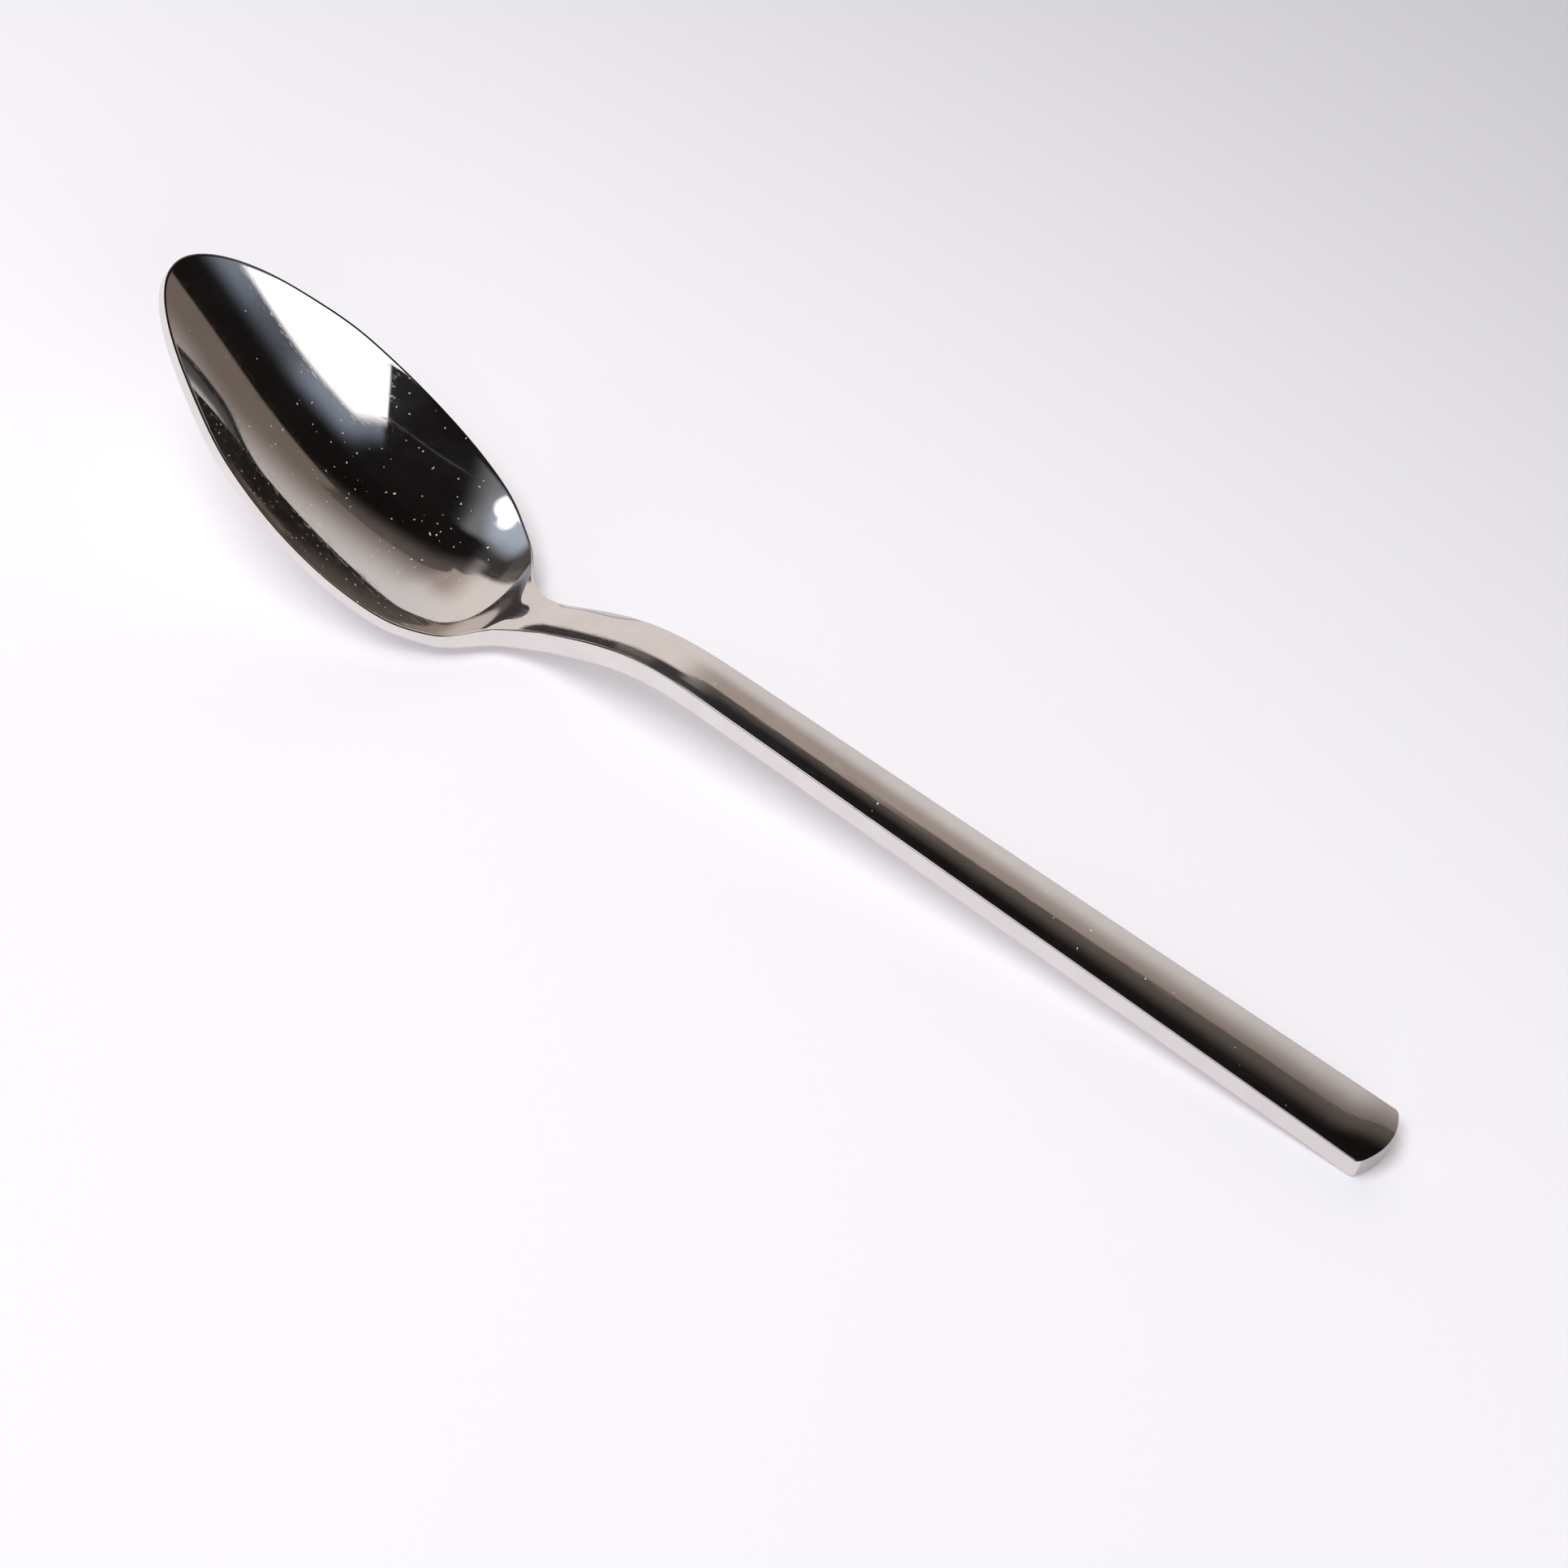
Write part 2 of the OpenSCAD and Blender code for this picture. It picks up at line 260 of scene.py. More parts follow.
def dark_cards(view):
    x, y, z = view.x, view.y, view.z
    behind = y - x * WALL_TURN
    cloth = behind.step(0.08, 0.5).blend(CLOTH_ABOVE, CLOTH_BEHIND)
    far_wall = behind.step(0.35, 1.15).blend(FAR_BROWN, FAR_PALE)
    left_wall = y.step(0.52, 0.84).blend(LEFT_BROWN, LEFT_PALE)
    wall = x.step(-0.18, 0.02).blend(left_wall, far_wall)
    cloth_form = y.step(0.05, 0.15) * x.step(0.68, 0.45)
    front_form = x.step(0.16, 0.0) * y.step(-0.14, -0.26)
    left_form = x.step(-0.1, -0.35) * y.step(-0.30, -0.12)
    wall_form = view.along(WALL_SQUARE).step(-0.065, -0.035)
    right_end_form = y.step(0.57, 0.62) * x.step(0.40, 0.45)
    left_end_form = y.step(0.29, 0.31) * x.step(-0.12, -0.17)
    light_form = x.step(-0.16, -0.46) * y.step(-0.02, 0.07)
    lift = z.step(0.5, 0.6) * z.step(0.86, 0.78) * CORNER_LIFT
    corner_form = x.step(-0.2, -0.4) * y.step(0.24, 0.13) * (1.0 - lift)
    skirting_form = y.step(0.1, 0.3) * x.step(-0.55, -0.35) * z.step(0.05, 0.025)
    return [
        (cloth_form, cloth),
        (front_form, GREY_CARD),
        (left_form, DARK_CARD),
        (wall_form, wall),
        (right_end_form, wall),
        (left_end_form, wall),
        (light_form, LIGHT_CARD),
        (corner_form, CORNER_CARD),
        (skirting_form, SKIRTING),
    ]


print("colours of the dark cards: from", CLOTH_ABOVE[:3], "to", LIGHT_CARD[:3])

# %% [markdown]
# The bright part follows: a bluish window with two lamps in it, a low pale card in front, a thin
# dark ledge, and a big white softbox with a faint glow round it. The softbox is what makes the
# large bright patch in the bowl, so its three edges are laid where that patch ends. A round spot
# has four numbers: its degrees round and up, and its radius where it starts to fade and is gone.

# %% Window, lamps and softbox
WINDOW = (0.75, 0.90, 1.10, 1)
WINDOW_SHARE = 0.6
WINDOW_SPOT = (-128, 52, 3, 27)
SMALL_LAMP = (2.0, 2.1, 2.3, 1)
RIGHT_LAMP_SPOT, LEFT_LAMP_SPOT = (-104, 55, 4, 8), (-116, 59, 3, 7)
PALE_CARD = (0.9, 0.9, 0.93, 1)
PALE_SPOT = (-128, 22, 9, 20)
LEDGE = (0.06, 0.06, 0.06, 1)
GLOW = (0.24, 0.29, 0.37, 1)
SOFTBOX = (1.6, 1.6, 1.64, 1)
LEDGE_SQUARE = (0.08, -0.77, -0.63)
RIGHT_SQUARE = (0.85, 0.36, -0.39)
LEFT_SQUARE = (-0.03, -0.95, -0.31)


def bright_cards(view):
    x, z = view.x, view.z
    ledge = view.along(LEDGE_SQUARE)
    ledge_form = ledge.step(-0.015, 0.0) * ledge.step(0.015, 0.0) * x.step(0.06, 0.2)
    right, left = view.along(RIGHT_SQUARE), view.along(LEFT_SQUARE)
    glow_height = z.step(0.84, 0.70) * z.step(0.30, 0.62)
    glow_form = right.step(-0.01, 0.05) * left.step(-0.42, -0.03) * glow_height
    box_form = right.step(-0.006, 0.010) * left.step(-0.03, 0.07) * z.step(0.745, 0.665)
    return [
        (view.spot(*WINDOW_SPOT) * WINDOW_SHARE, WINDOW),
        (view.spot(*RIGHT_LAMP_SPOT), SMALL_LAMP),
        (view.spot(*LEFT_LAMP_SPOT), SMALL_LAMP),
        (view.spot(*PALE_SPOT), PALE_CARD),
        (ledge_form, LEDGE),
        (glow_form, GLOW),
        (box_form, SOFTBOX),
    ]


print("the softbox is", round(SOFTBOX[0] / WINDOW[0], 2), "times as bright as the window")


# %% Paint the room
def room():
    world = bpy.data.worlds.new("room")
    bpy.context.scene.world = world
    world.use_nodes = True
    tree = world.node_tree
    view = View(tree)
    cards = dark_cards(view) + bright_cards(view)
    colour = CEILING
    for form, paint in cards:
        colour = form.blend(colour, paint)
    shade = colour.node("ShaderNodeBackground", None, {"Color": colour, "Strength": 1.0})
    tree.links.new(shade.socket, tree.nodes["World Output"].inputs["Surface"])
    print("room painted with", len(cards), "cards")


room()

# %% [markdown]
# ## The lamp
#
# The paper gets most of its light from one wide lamp nearly overhead. It could be another bright
# card, but then the steel would mirror it, so it is a lamp that reflections leave out.

# %% Hang the lamp
LAMP_ROUND, LAMP_UP = -112, 77
LAMP_REACH = 1.1
LAMP_SIDE = 0.6
LAMP_POWER = 6.9


def soft_light():
    data = bpy.data.lights.new("top_light", "AREA")
    data.shape = "RECTANGLE"
    data.size = data.size_y = LAMP_SIDE
    data.energy = LAMP_POWER
    lamp = bpy.data.objects.new("top_light", data)
    bpy.context.scene.collection.objects.link(lamp)
    lamp.location = np.array(toward(LAMP_ROUND, LAMP_UP)) * LAMP_REACH
    lamp.rotation_euler = (math.radians(90 - LAMP_UP), 0, math.radians(LAMP_ROUND + 90))
    lamp.visible_glossy = False
    print("lamp at", [round(float(v), 3) for v in lamp.location])


soft_light()

# %% [markdown]
# ## The form of the spoon
#
# The spoon is a blank bent lengthwise. One set of functions gives its half width, the height of
# its upper and lower face, and the bend, from the same sizes as the CAD, apart from the edges,
# which are a little sharper here. A skin could be made by subdividing the CAD mesh, but its
# facets would show in a mirror, so the skin is computed afresh from the functions, many times
# finer. A station is a place along the flat blank, in millimetres from the tip, and a share is a
# place along the bowl.

# %% Sizes of the blank, in millimetres
blank_length = 148.0
bowl_length = 52.0
bowl_half = 22.2 / 2
bowl_depth = 4.7
rim_height = 1.9
floor_thickness = 1.5
neck_half = 4.4 / 2
dome_height = 0.45
end_half = 6.8 / 2
side_height = 2.7
end_arc = 1.0
gather_length = 8 * end_arc
end_corner = 0.3
edge_size = 0.22
crank_length = 23.3
print("blank", blank_length, "mm long")

# %% Slopes of the blank, in degrees
tip_tilt, belly_tilt, heel_tilt = 33.7, 38.1, 28.0
neck_rise, handle_fall = 27.2, 7.3
print("the neck turns over by", neck_rise + handle_fall, "degrees")

# %% Places along the bowl, as shares of its length
belly_from_share, belly_full_share = 0.04, 0.22
heel_full_share = 0.78
rise_from_share, rise_full_share = 0.715, 1.025
hollow_fade_share, hollow_end_share = 0.84, 0.96
dome_from_share, dome_full_share = 0.86, 1.02
side_from_share, side_full_share = 0.43, 1.41
neck_in_share = 0.85
bowl_cut_share = 0.94
outline_shares = np.array([
    (0, 0), (0.08, 0.232), (0.155, 0.435), (0.23, 0.627), (0.31, 0.82), (0.385, 0.93),
    (0.46, 0.994), (0.54, 1.008), (0.615, 0.968), (0.69, 0.864), (0.75, 0.717), (0.8, 0.516),
    (0.84, 0.33), (0.875, 0.13), (0.92, 0.03), (1, 0),
])
rise_full = rise_full_share * bowl_length
crank_full = rise_full + crank_length
bowl_cut = bowl_cut_share * bowl_length
print("the bowl ends at", round(bowl_cut, 2), "mm and the neck at", round(crank_full, 2), "mm")


# %% Smooth steps and the outline
def ramp(value, low, high):
    v = np.clip((value - low) / (high - low), 0, 1)
    return v * v * v * (10 - 15 * v + 6 * v * v)


def bowl_ramp(s, from_share, full_share):
    return ramp(s, from_share * bowl_length, full_share * bowl_length)


def spline_bends(outline):
    place, value = outline[:, 0], outline[:, 1]
    gap = np.diff(place)
    count = len(outline)
    rows, right = np.eye(count), np.zeros(count)
    for i in range(1, count - 1):
        rows[i, i - 1 : i + 2] = gap[i - 1], 2 * (gap[i - 1] + gap[i]), gap[i]
        right[i] = 6 * ((value[i + 1] - value[i]) / gap[i] - (value[i] - value[i - 1]) / gap[i - 1])
    return np.linalg.solve(rows, right)


outline_bends = spline_bends(outline_shares)


def leaf_share(u):
    place, value = outline_shares[:, 0], outline_shares[:, 1]
    i = np.clip(np.searchsorted(place, np.clip(u, 0, 1), side="right") - 1, 0, len(place) - 2)
    gap = place[i + 1] - place[i]
    t = (u - place[i]) / gap
    r = 1 - t
    leaf = value[i] * r + value[i + 1] * t
    leaf = leaf + gap * gap * ((r**3 - r) * outline_bends[i] + (t**3 - t) * outline_bends[i + 1]) / 6
    return np.where(u < 1, np.maximum(leaf, 0), 0)


def half_square(s):
    u = s / bowl_length
    along = np.clip((s - bowl_length) / (blank_length - bowl_length), 0, 1)
    stem = (neck_half + (end_half - neck_half) * along) ** 2 * ramp(u, 0, neck_in_share)
    return stem + (bowl_half**2 - stem) * leaf_share(u)


def half_width(s):
    v = np.clip((s - blank_length + end_corner) / end_corner, 0, 1)
    return np.sqrt(np.maximum(half_square(s), 0)) - end_corner * (1 - np.sqrt(1 - v * v))


print("widest half width", round(float(half_width(np.linspace(0, bowl_length, 500)).max()), 3), "mm")


# %% Faces and bend
BEND_STEPS = 6000
SMALLEST_SQUARE = 1e-9


def slope(s):
    tilt = -tip_tilt + (tip_tilt - belly_tilt) * bowl_ramp(s, belly_from_share, belly_full_share)
    tilt = tilt + (belly_tilt - heel_tilt) * bowl_ramp(s, belly_full_share, heel_full_share)
    tilt = tilt + (heel_tilt + neck_rise) * bowl_ramp(s, rise_from_share, rise_full_share)
    return np.radians(tilt - (neck_rise + handle_fall) * ramp(s, rise_full, crank_full))


def wall(s):
    return rim_height + (side_height - rim_height) * bowl_ramp(s, side_from_share, side_full_share)


def hollow(s):
    return 1 - bowl_ramp(s, hollow_fade_share, hollow_end_share)


def upper(s, y):
    square = half_square(s)
    q = np.maximum(square - y * y, 0)
    dome = dome_height * bowl_ramp(s, dome_from_share, dome_full_share)
    dome = dome * q / np.maximum(square, SMALLEST_SQUARE)
    return dome - bowl_depth / bowl_half**2 * hollow(s) * q


def lower(s, y):
    q = np.maximum(half_square(s) - y * y, 0)
    return -wall(s) - (bowl_depth + floor_thickness - rim_height) / bowl_half**2 * hollow(s) * q


fine = np.linspace(0, blank_length, BEND_STEPS + 1)
fine_step = fine[1]
middles = slope((fine[1:] + fine[:-1]) / 2)
bend_x = np.concatenate([[0], np.cumsum(fine_step * np.cos(middles))])
bend_z = np.concatenate([[0], np.cumsum(fine_step * np.sin(middles))])


def bent(s, y, h):
    a = slope(s)
    x = np.interp(s, fine, bend_x) - h * np.sin(a)
    z = np.interp(s, fine, bend_z) + h * np.cos(a)
    return np.stack([x, y + 0 * s, z], -1)


print("bent length", round(float(bend_x[-1]), 2), "mm")

# %% [markdown]
# The spoon rests on two places, its heel and the end of its handle. The angle that puts both on
# the table is found in a few rounds, because the lowest place of the heel shifts as it turns.

# %% Lay the spoon on its heel and its end
HEEL_POINTS = 61
ROUNDS = 6
heel_from_share = 0.4


def turned(points, angle):
    c, n = math.cos(angle), math.sin(angle)
    x, y, z = points[..., 0], points[..., 1], points[..., 2]
    return np.stack([x * c + z * n, y, -x * n + z * c], -1)


heel_line = bowl_length * np.linspace(heel_from_share, 1.0, HEEL_POINTS)
heel_points = bent(heel_line, 0 * heel_line, lower(heel_line, 0 * heel_line))
end_station = np.array([blank_length])
end_point = bent(end_station, np.zeros(1), lower(end_station, np.zeros(1)))
lay_angle = 0.0
for _ in range(ROUNDS):
    heel = turned(heel_points, lay_angle)
    heel = heel[heel[:, 2].argmin()]
    end = turned(end_point, lay_angle)[0]
    lay_angle += math.atan((end[2] - heel[2]) / (end[0] - heel[0]))
lay_down = float(turned(heel_points, lay_angle)[:, 2].min())
last_half = half_width(end_station)[0]


def placed(s, y, h):
    gathered = ramp(s, blank_length - gather_length, blank_length)
    arc = end_arc * gathered * y * y / last_half**2
    return turned(bent(s - arc, y, h), lay_angle) - np.array([0, 0, lay_down])


print("laid down by", round(math.degrees(lay_angle), 3), "degrees")

# %% [markdown]
# ## Rings of points
#
# Each zone is skinned with rings. A ring crosses the spoon from its near edge over the upper face
# to the far edge and comes back under it. Near the tip the rings fan out, so that the tip is a
# smooth nose and not a point. The edges are softened by a small round, because no polished edge
# is sharp, and that round is what catches the light.

# %% The course of a ring
fan_reach_share, fan_shift_share = 0.3, 0.07
probe_share = 0.002


def outward(s):
    d = probe_share * bowl_length
    before, after = np.maximum(s - d, 0), s + d
    g = (half_square(after) - half_square(before)) / (after - before)
    y = 2 * half_width(s)
    n = np.sqrt(g * g + y * y)
    return np.where(s > bowl_cut, 0, -g / n), np.where(s > bowl_cut, 1, y / n)


def fan_foot(s):
    r = 1 - s / (fan_reach_share * bowl_length)
    return s + (fan_shift_share * bowl_length * r**3 if r > 0 else 0)


print("the tip's own line runs back to", round(fan_foot(0.0), 2), "mm")

# %% Its rounded edge
ROUND_POINTS = 5
FLAT_RIM = 0.02
edge_height_share = 0.45
rim_ease_share = 0.6


def rounded_edge(s, rim):
    angles = np.linspace(0, np.pi / 2, ROUND_POINTS + 2)[1:]
    fall = 1 - np.cos(angles)
    height = edge_height_share * edge_size
    if rim < -FLAT_RIM:
        top = rim - (height + rim * rim_ease_share) * fall
    else:
        top = rim * np.cos(angles) - height * fall
    low = height * fall - wall(s)
    inset = edge_size * (1 - np.sin(angles))
    return np.concatenate([inset, inset[::-1]]), np.concatenate([top, low[::-1]])


print("heights on the handle's edge:", rounded_edge(blank_length, 0.0)[1].round(2))

# %% One ring
HALF_POINTS = 36
CROWDING = 0.12


def ring(s):
    n0, n1 = outward(s)
    w = half_width(s)
    t = np.linspace(0, 1, HALF_POINTS + 1)
    t = t - CROWDING * np.sin(2 * np.pi * t) / (2 * np.pi)
    start_s, start_y = s - edge_size * n0, w - edge_size * n1
    line_s = start_s + (fan_foot(s) - start_s) * t
    line_y = start_y - start_y * t
    row_s = np.concatenate([line_s, line_s[-2::-1]])
    row_y = np.concatenate([-line_y, line_y[-2::-1]])
    inset, edge_h = rounded_edge(s, float(upper(start_s, start_y)))
    edge_s, edge_y = s - inset * n0, w - inset * n1
    all_s = np.concatenate([row_s, edge_s, row_s[::-1], edge_s[::-1]])
    all_y = np.concatenate([row_y, edge_y, row_y[::-1], -edge_y[::-1]])
    all_h = np.concatenate([upper(row_s, row_y), edge_h, lower(row_s, row_y)[::-1], edge_h[::-1]])
    return placed(all_s, all_y, all_h)


ACROSS = 2 * HALF_POINTS
EDGE = 2 * (ROUND_POINTS + 1)
LOW = ACROSS + 1 + EDGE
RING = 2 * LOW
print("points in a ring:", RING, len(ring(bowl_length / 2)))

# %% [markdown]
# All rings are computed once for the whole spoon, and the normals too. The three zones are then
# cut from them. Because neighbours share the last ring and its normals, the polish runs on over
# the cut without a line, as on the real spoon.

# %% Skin the whole spoon
TIP_RINGS, BOWL_RINGS, NECK_RINGS, HANDLE_RINGS, END_RINGS, CORNER_RINGS = 110, 90, 100, 60, 32, 6
TIP_CROWDING = 1.6
tip_zone_share = 0.58
tip_zone = tip_zone_share * bowl_length


def even(first, last, count):
    return np.linspace(first, last, count + 1)[1:]


corner_turn = np.radians(90 * np.arange(1, CORNER_RINGS + 1) / CORNER_RINGS)
stations = np.concatenate([
    tip_zone * (np.arange(1, TIP_RINGS + 1) / TIP_RINGS) ** TIP_CROWDING,
    even(tip_zone, bowl_cut, BOWL_RINGS),
    even(bowl_cut, crank_full, NECK_RINGS),
    even(crank_full, blank_length - gather_length, HANDLE_RINGS),
    even(blank_length - gather_length, blank_length - end_corner, END_RINGS),
    blank_length - end_corner * (1 - np.sin(corner_turn)),
])
bowl_last = TIP_RINGS + BOWL_RINGS
neck_last = bowl_last + NECK_RINGS
end_last = len(stations)
rings = np.stack([ring(0.0)] + [ring(float(s)) for s in stations])
points = rings.reshape(-1, 3) / MM_PER_M
print("rings:", rings.shape)

# %% [markdown]
# The first ring lies on the middle line of the tip, so its near and far points fall together.
# Each of them has a twin, and the faces use only one of the two. The normal of a point is then
# the sum of the normals of the faces around it.

# %% Join the tip and work out the normals
SMALLEST_NORMAL = 1e-20


def twin(i):
    return ACROSS - i if i <= ACROSS else RING + ACROSS - i


def band(first, second):
    i = np.arange(RING)
    j = (i + 1) % RING
    return np.stack([first + i, second + i, second + j, first + j], 1)


points[:RING, 1] = 0
home = np.arange(len(points))
home[:RING] = [min(i, twin(i)) for i in range(RING)]
bands = home[np.stack([band(k * RING, (k + 1) * RING) for k in range(end_last)])]
corner = points[bands.reshape(-1, 4)]
facing = np.cross(corner[:, 2] - corner[:, 0], corner[:, 3] - corner[:, 1])
normals = np.zeros_like(points)
for column in range(4):
    np.add.at(normals, bands.reshape(-1, 4)[:, column], facing)
normals /= np.maximum(np.linalg.norm(normals, axis=1, keepdims=True), SMALLEST_NORMAL)
print("faces on the skin:", len(corner))

# %% [markdown]
# In the photograph the top of the neck and the end of the handle mirror a slightly different part
# of the room than this form does, as if their polish were a few degrees off. The form could be
# bent for it, but leaning the normals does the same in the mirror and leaves the outline alone.

# %% Lean the polish
NECK_LEAN, END_LEAN = math.radians(4), math.radians(8)
first_lean, second_lean, lean_fade = (42, 45), (47, 50), (54, 62)
end_lean_from = 142.5


def lean_at(s):
    neck = NECK_LEAN * (ramp(s, *first_lean) + ramp(s, *second_lean)) * (1 - ramp(s, *lean_fade))
    return neck + END_LEAN * ramp(s, end_lean_from, blank_length)


def lean_polish():
    for k, s in enumerate(stations, 1):
        lean = lean_at(s)
        top = normals[k * RING : k * RING + ACROSS + 1]
        x, z = top[:, 0].copy(), top[:, 2].copy()
        top[:, 0] = x * math.cos(lean) + z * math.sin(lean)
        top[:, 2] = z * math.cos(lean) - x * math.sin(lean)


lean_polish()
print("largest lean:", round(math.degrees(max(lean_at(stations))), 2), "degrees")


# %% Close the ends
def plate_faces():
    strips = [(i, i + 1, LOW + ACROSS - i - 1, LOW + ACROSS - i) for i in range(ACROSS)]
    far = [(ACROSS + i, ACROSS + i + 1, LOW) for i in range(EDGE)]
    near = [(0, LOW + ACROSS + i, LOW + ACROSS + i + 1) for i in range(EDGE)]
    return strips + far + near


def plate_facing(loop):
    across = loop[ACROSS] - loop[0]
    upright = loop[0] - loop[LOW + ACROSS]
    out = np.cross(across, upright)
    return out / np.linalg.norm(out)


print("faces on an end:", len(plate_faces()))


# %% Make the three zones
def make_piece(name, first, last):
    used = bands[first:last].reshape(-1, 4)
    keep = np.unique(used)
    order = {int(k): n for n, k in enumerate(keep)}
    verts = [tuple(p) for p in points[keep]]
    vert_normals = [tuple(n) for n in normals[keep]]
    polygons = [[order[int(k)] for k in quad] for quad in used]
    ends = [(last, 1)] if first == 0 else [(first, -1), (last, 1)]
    for which, side in ends:
        base = len(verts)
        loop = points[which * RING : (which + 1) * RING]
        verts += [tuple(p) for p in loop]
        vert_normals += [tuple(side * plate_facing(loop))] * RING
        polygons += [[base + k for k in face][::-side] for face in plate_faces()]
    mesh = bpy.data.meshes.new(name)
    mesh.from_pydata(verts, [], polygons)
    mesh.shade_smooth()
    mesh.normals_split_custom_set_from_vertices(vert_normals)
    piece = bpy.data.objects.new(name, mesh)
    bpy.context.scene.collection.objects.link(piece)
    print(name, len(mesh.vertices), "points", len(mesh.polygons), "faces")
    return piece


zones = {
    "bowl": make_piece("polished_bowl", 0, bowl_last),
    "neck": make_piece("polished_neck", bowl_last, neck_last),
    "handle": make_piece("polished_handle", neck_last, end_last),
}

# %% [markdown]
# The CAD has its origin in the middle of the spoon's length, and the blank starts at its tip. So
# the skin is moved along x until its two ends lie equally far from the origin.

# %% Centre the zones
all_x = [v.co.x for zone in zones.values() for v in zone.data.vertices]
middle = (min(all_x) + max(all_x)) / 2
for zone in zones.values():
    zone.data.transform(Matrix.Translation((-middle, 0, 0)))
print("moved along x by", round(-middle * MM_PER_M, 3), "mm")

# %% [markdown]
# ## Mirror-polished steel
#
# Polished stainless steel is a metal with very low roughness. Years of use leave hairlines, which
# could be drawn one by one, but a stretched noise gives thousands of them at the right scale. Two
# such noises cross each other, as the strokes of a cloth do.

# %% Hairlines
GRAIN_ROUGHNESS = 0.6
HAIR_SCALE, HAIR_DETAIL = 4.0, 3.0
FIRST_TURN, FIRST_STRETCH = 0.35, (50, 1100, 400)
SECOND_TURN, SECOND_STRETCH = -0.5, (60, 1500, 500)


def grain(place, scale, detail):
    inputs = {"Vector": place, "Scale": scale, "Detail": detail, "Roughness": GRAIN_ROUGHNESS}
    return place.node("ShaderNodeTexNoise", None, inputs)


def strokes(place, turn, stretch):
    inputs = {"Vector": place, "Rotation": (0, 0, turn), "Scale": stretch}
    laid = place.node("ShaderNodeMapping", None, inputs)
    return grain(laid, HAIR_SCALE, HAIR_DETAIL)


def hairlines(place):
    first = strokes(place, FIRST_TURN, FIRST_STRETCH)
    second = strokes(place, SECOND_TURN, SECOND_STRETCH)
    return first.step(0.58, 0.72) + second.step(0.62, 0.74)


print("strokes at", round(math.degrees(FIRST_TURN)), "and", round(math.degrees(SECOND_TURN)), "degrees")

# %% [markdown]
# A few specks of dust lie on the floor of the bowl. They could be tiny pieces, but as a pattern
# they cost nothing. The pattern cuts space into cells with a point and a random number each, and
# a speck is the middle of a cell whose number is high. The floor of the bowl adds to the number,
# so most specks lie there. A little wobble makes them irregular.

# %% Dust
CELL_SCALE = 1500.0
WOBBLE_SCALE = 2500.0
WOBBLE = 0.0006
FLOOR_SHARE = 0.42
FLOOR_HEEL, FLOOR_TIP = (-0.028, -0.042), (-0.066, -0.05)
HIGH_NUMBER = (0.95, 0.96)
SPECK_RIM = (0.13, 0.10)


def dust_specks(place):
    wobble = place.node(
        "ShaderNodeTexNoise", None, {"Vector": place, "Scale": WOBBLE_SCALE}, output="Color"
    )
    bent_place = place.node(
        "ShaderNodeVectorMath",
        {"operation": "MULTIPLY_ADD"},
        {0: wobble, 1: (WOBBLE, WOBBLE, WOBBLE), 2: place},
    )
    cells = place.node(
        "ShaderNodeTexVoronoi", {"feature": "F1"}, {"Vector": bent_place, "Scale": CELL_SCALE}
    )
    number = axes_of(Wire(place.tree, cells.socket.node.outputs["Color"]))[0]
    along = axes_of(place)[0]
    bowl_floor = along.step(*FLOOR_HEEL) * along.step(*FLOOR_TIP)
    chosen = (number + bowl_floor * FLOOR_SHARE).step(*HIGH_NUMBER)
    return cells.step(*SPECK_RIM) * chosen


print("a cell of the dust is", round(MM_PER_M / CELL_SCALE, 2), "mm wide")

# %% [markdown]
# Wear also leaves a faint haze round bright reflections. A rough coat over the mirror gives that
# haze, and its weight follows the hairlines. The dust has its own colour, and because dust isn't
# metal, it turns the metal off.

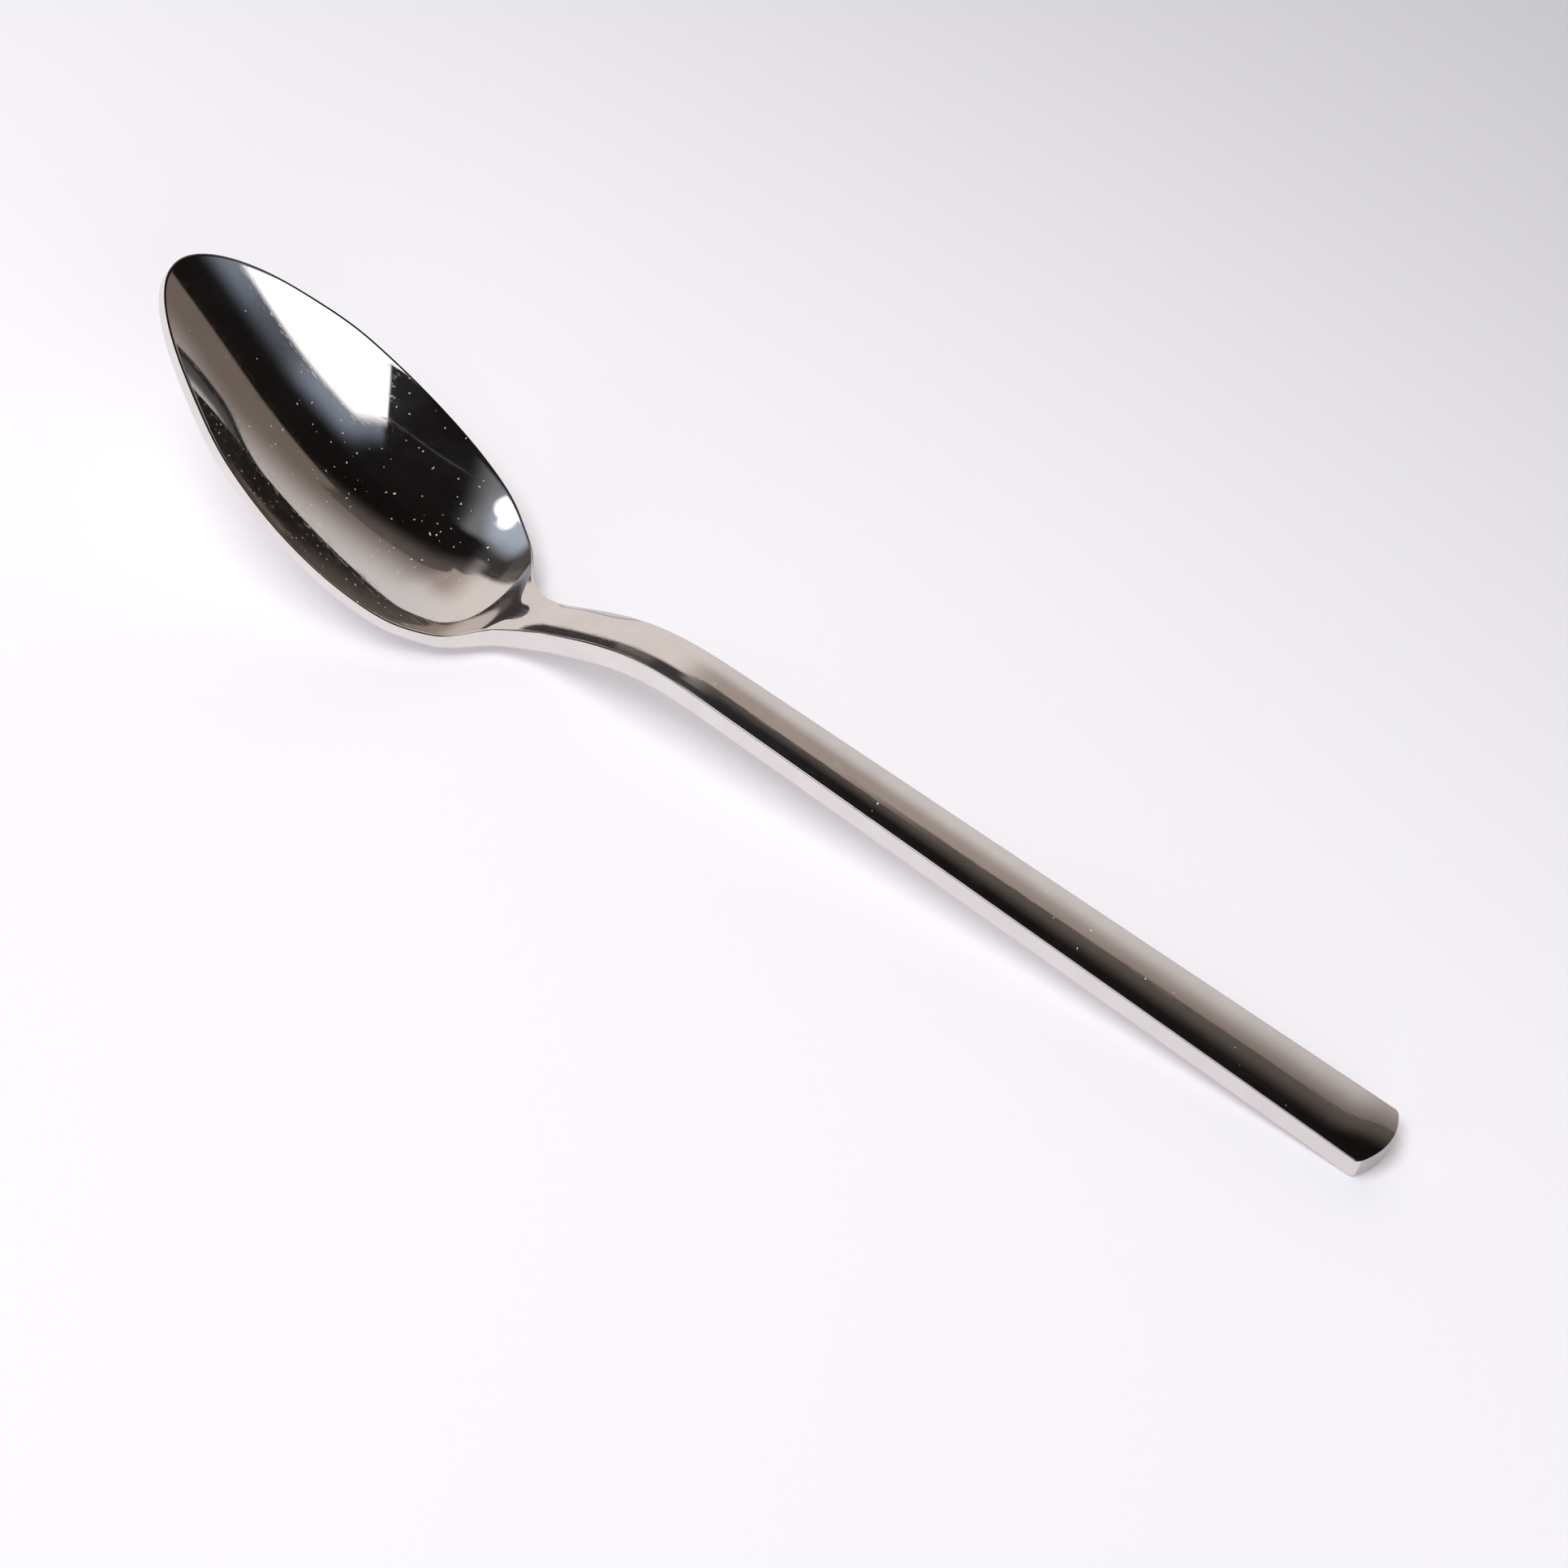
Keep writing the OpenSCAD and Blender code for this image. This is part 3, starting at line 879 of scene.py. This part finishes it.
# %% Steel
STEEL_DARK, STEEL_LIGHT = (0.74, 0.69, 0.66, 1), (0.77, 0.72, 0.69, 1)
DUST = (1.0, 0.88, 0.74, 1)
CLOUD_SCALE, CLOUD_DETAIL = 220.0, 4.0
POLISH_ROUGHNESS, HAIR_ROUGHNESS, CLOUD_ROUGHNESS = 0.035, 0.04, 0.03
HAZE, HAIR_HAZE, CLOUD_HAZE = 0.2, 0.5, 0.3
COAT_ROUGHNESS = 0.32
COAT_IOR = 1.65
HAIR_STRENGTH = 0.07
HAIR_DEPTH = 0.00002


def steel():
    material = bpy.data.materials.new("mirror_steel")
    material.use_nodes = True
    tree = material.node_tree
    place = Wire(tree, None).node("ShaderNodeTexCoord", output="Object")
    scratch = hairlines(place)
    cloud = grain(place, CLOUD_SCALE, CLOUD_DETAIL)
    dust = dust_specks(place)
    bump_inputs = {"Strength": HAIR_STRENGTH, "Distance": HAIR_DEPTH, "Height": scratch}
    clean_steel = cloud.step(0.35, 0.7).blend(STEEL_DARK, STEEL_LIGHT)
    rough_cloud = cloud.step(0.5, 0.8) * CLOUD_ROUGHNESS
    haze_cloud = cloud.step(0.3, 0.7) * CLOUD_HAZE
    finish = {
        "Base Color": dust.blend(clean_steel, DUST),
        "Metallic": 1.0 - dust,
        "Roughness": POLISH_ROUGHNESS + scratch * HAIR_ROUGHNESS + rough_cloud,
        "Coat Weight": HAZE + scratch * HAIR_HAZE + haze_cloud,
        "Normal": place.node("ShaderNodeBump", None, bump_inputs),
    }
    shader = tree.nodes["Principled BSDF"]
    for socket, wire in finish.items():
        tree.links.new(wire.socket, shader.inputs[socket])
    shader.inputs["Coat Roughness"].default_value = COAT_ROUGHNESS
    shader.inputs["Coat IOR"].default_value = COAT_IOR
    print("steel made of", len(tree.nodes), "shader nodes")
    return material


mirror_steel = steel()

# %% [markdown]
# ## Hand the zones over
#
# Each zone of the skin stands for the CAD solid of the same name, rides on the one body that the
# spoon is, and takes the mirror steel made above as its finish.

# %% Replace the CAD solids
for node_name, zone in zones.items():
    zone.data.materials.append(mirror_steel)
    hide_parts(node_name)
    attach(zone, "root")
print("steel on", list(zones))
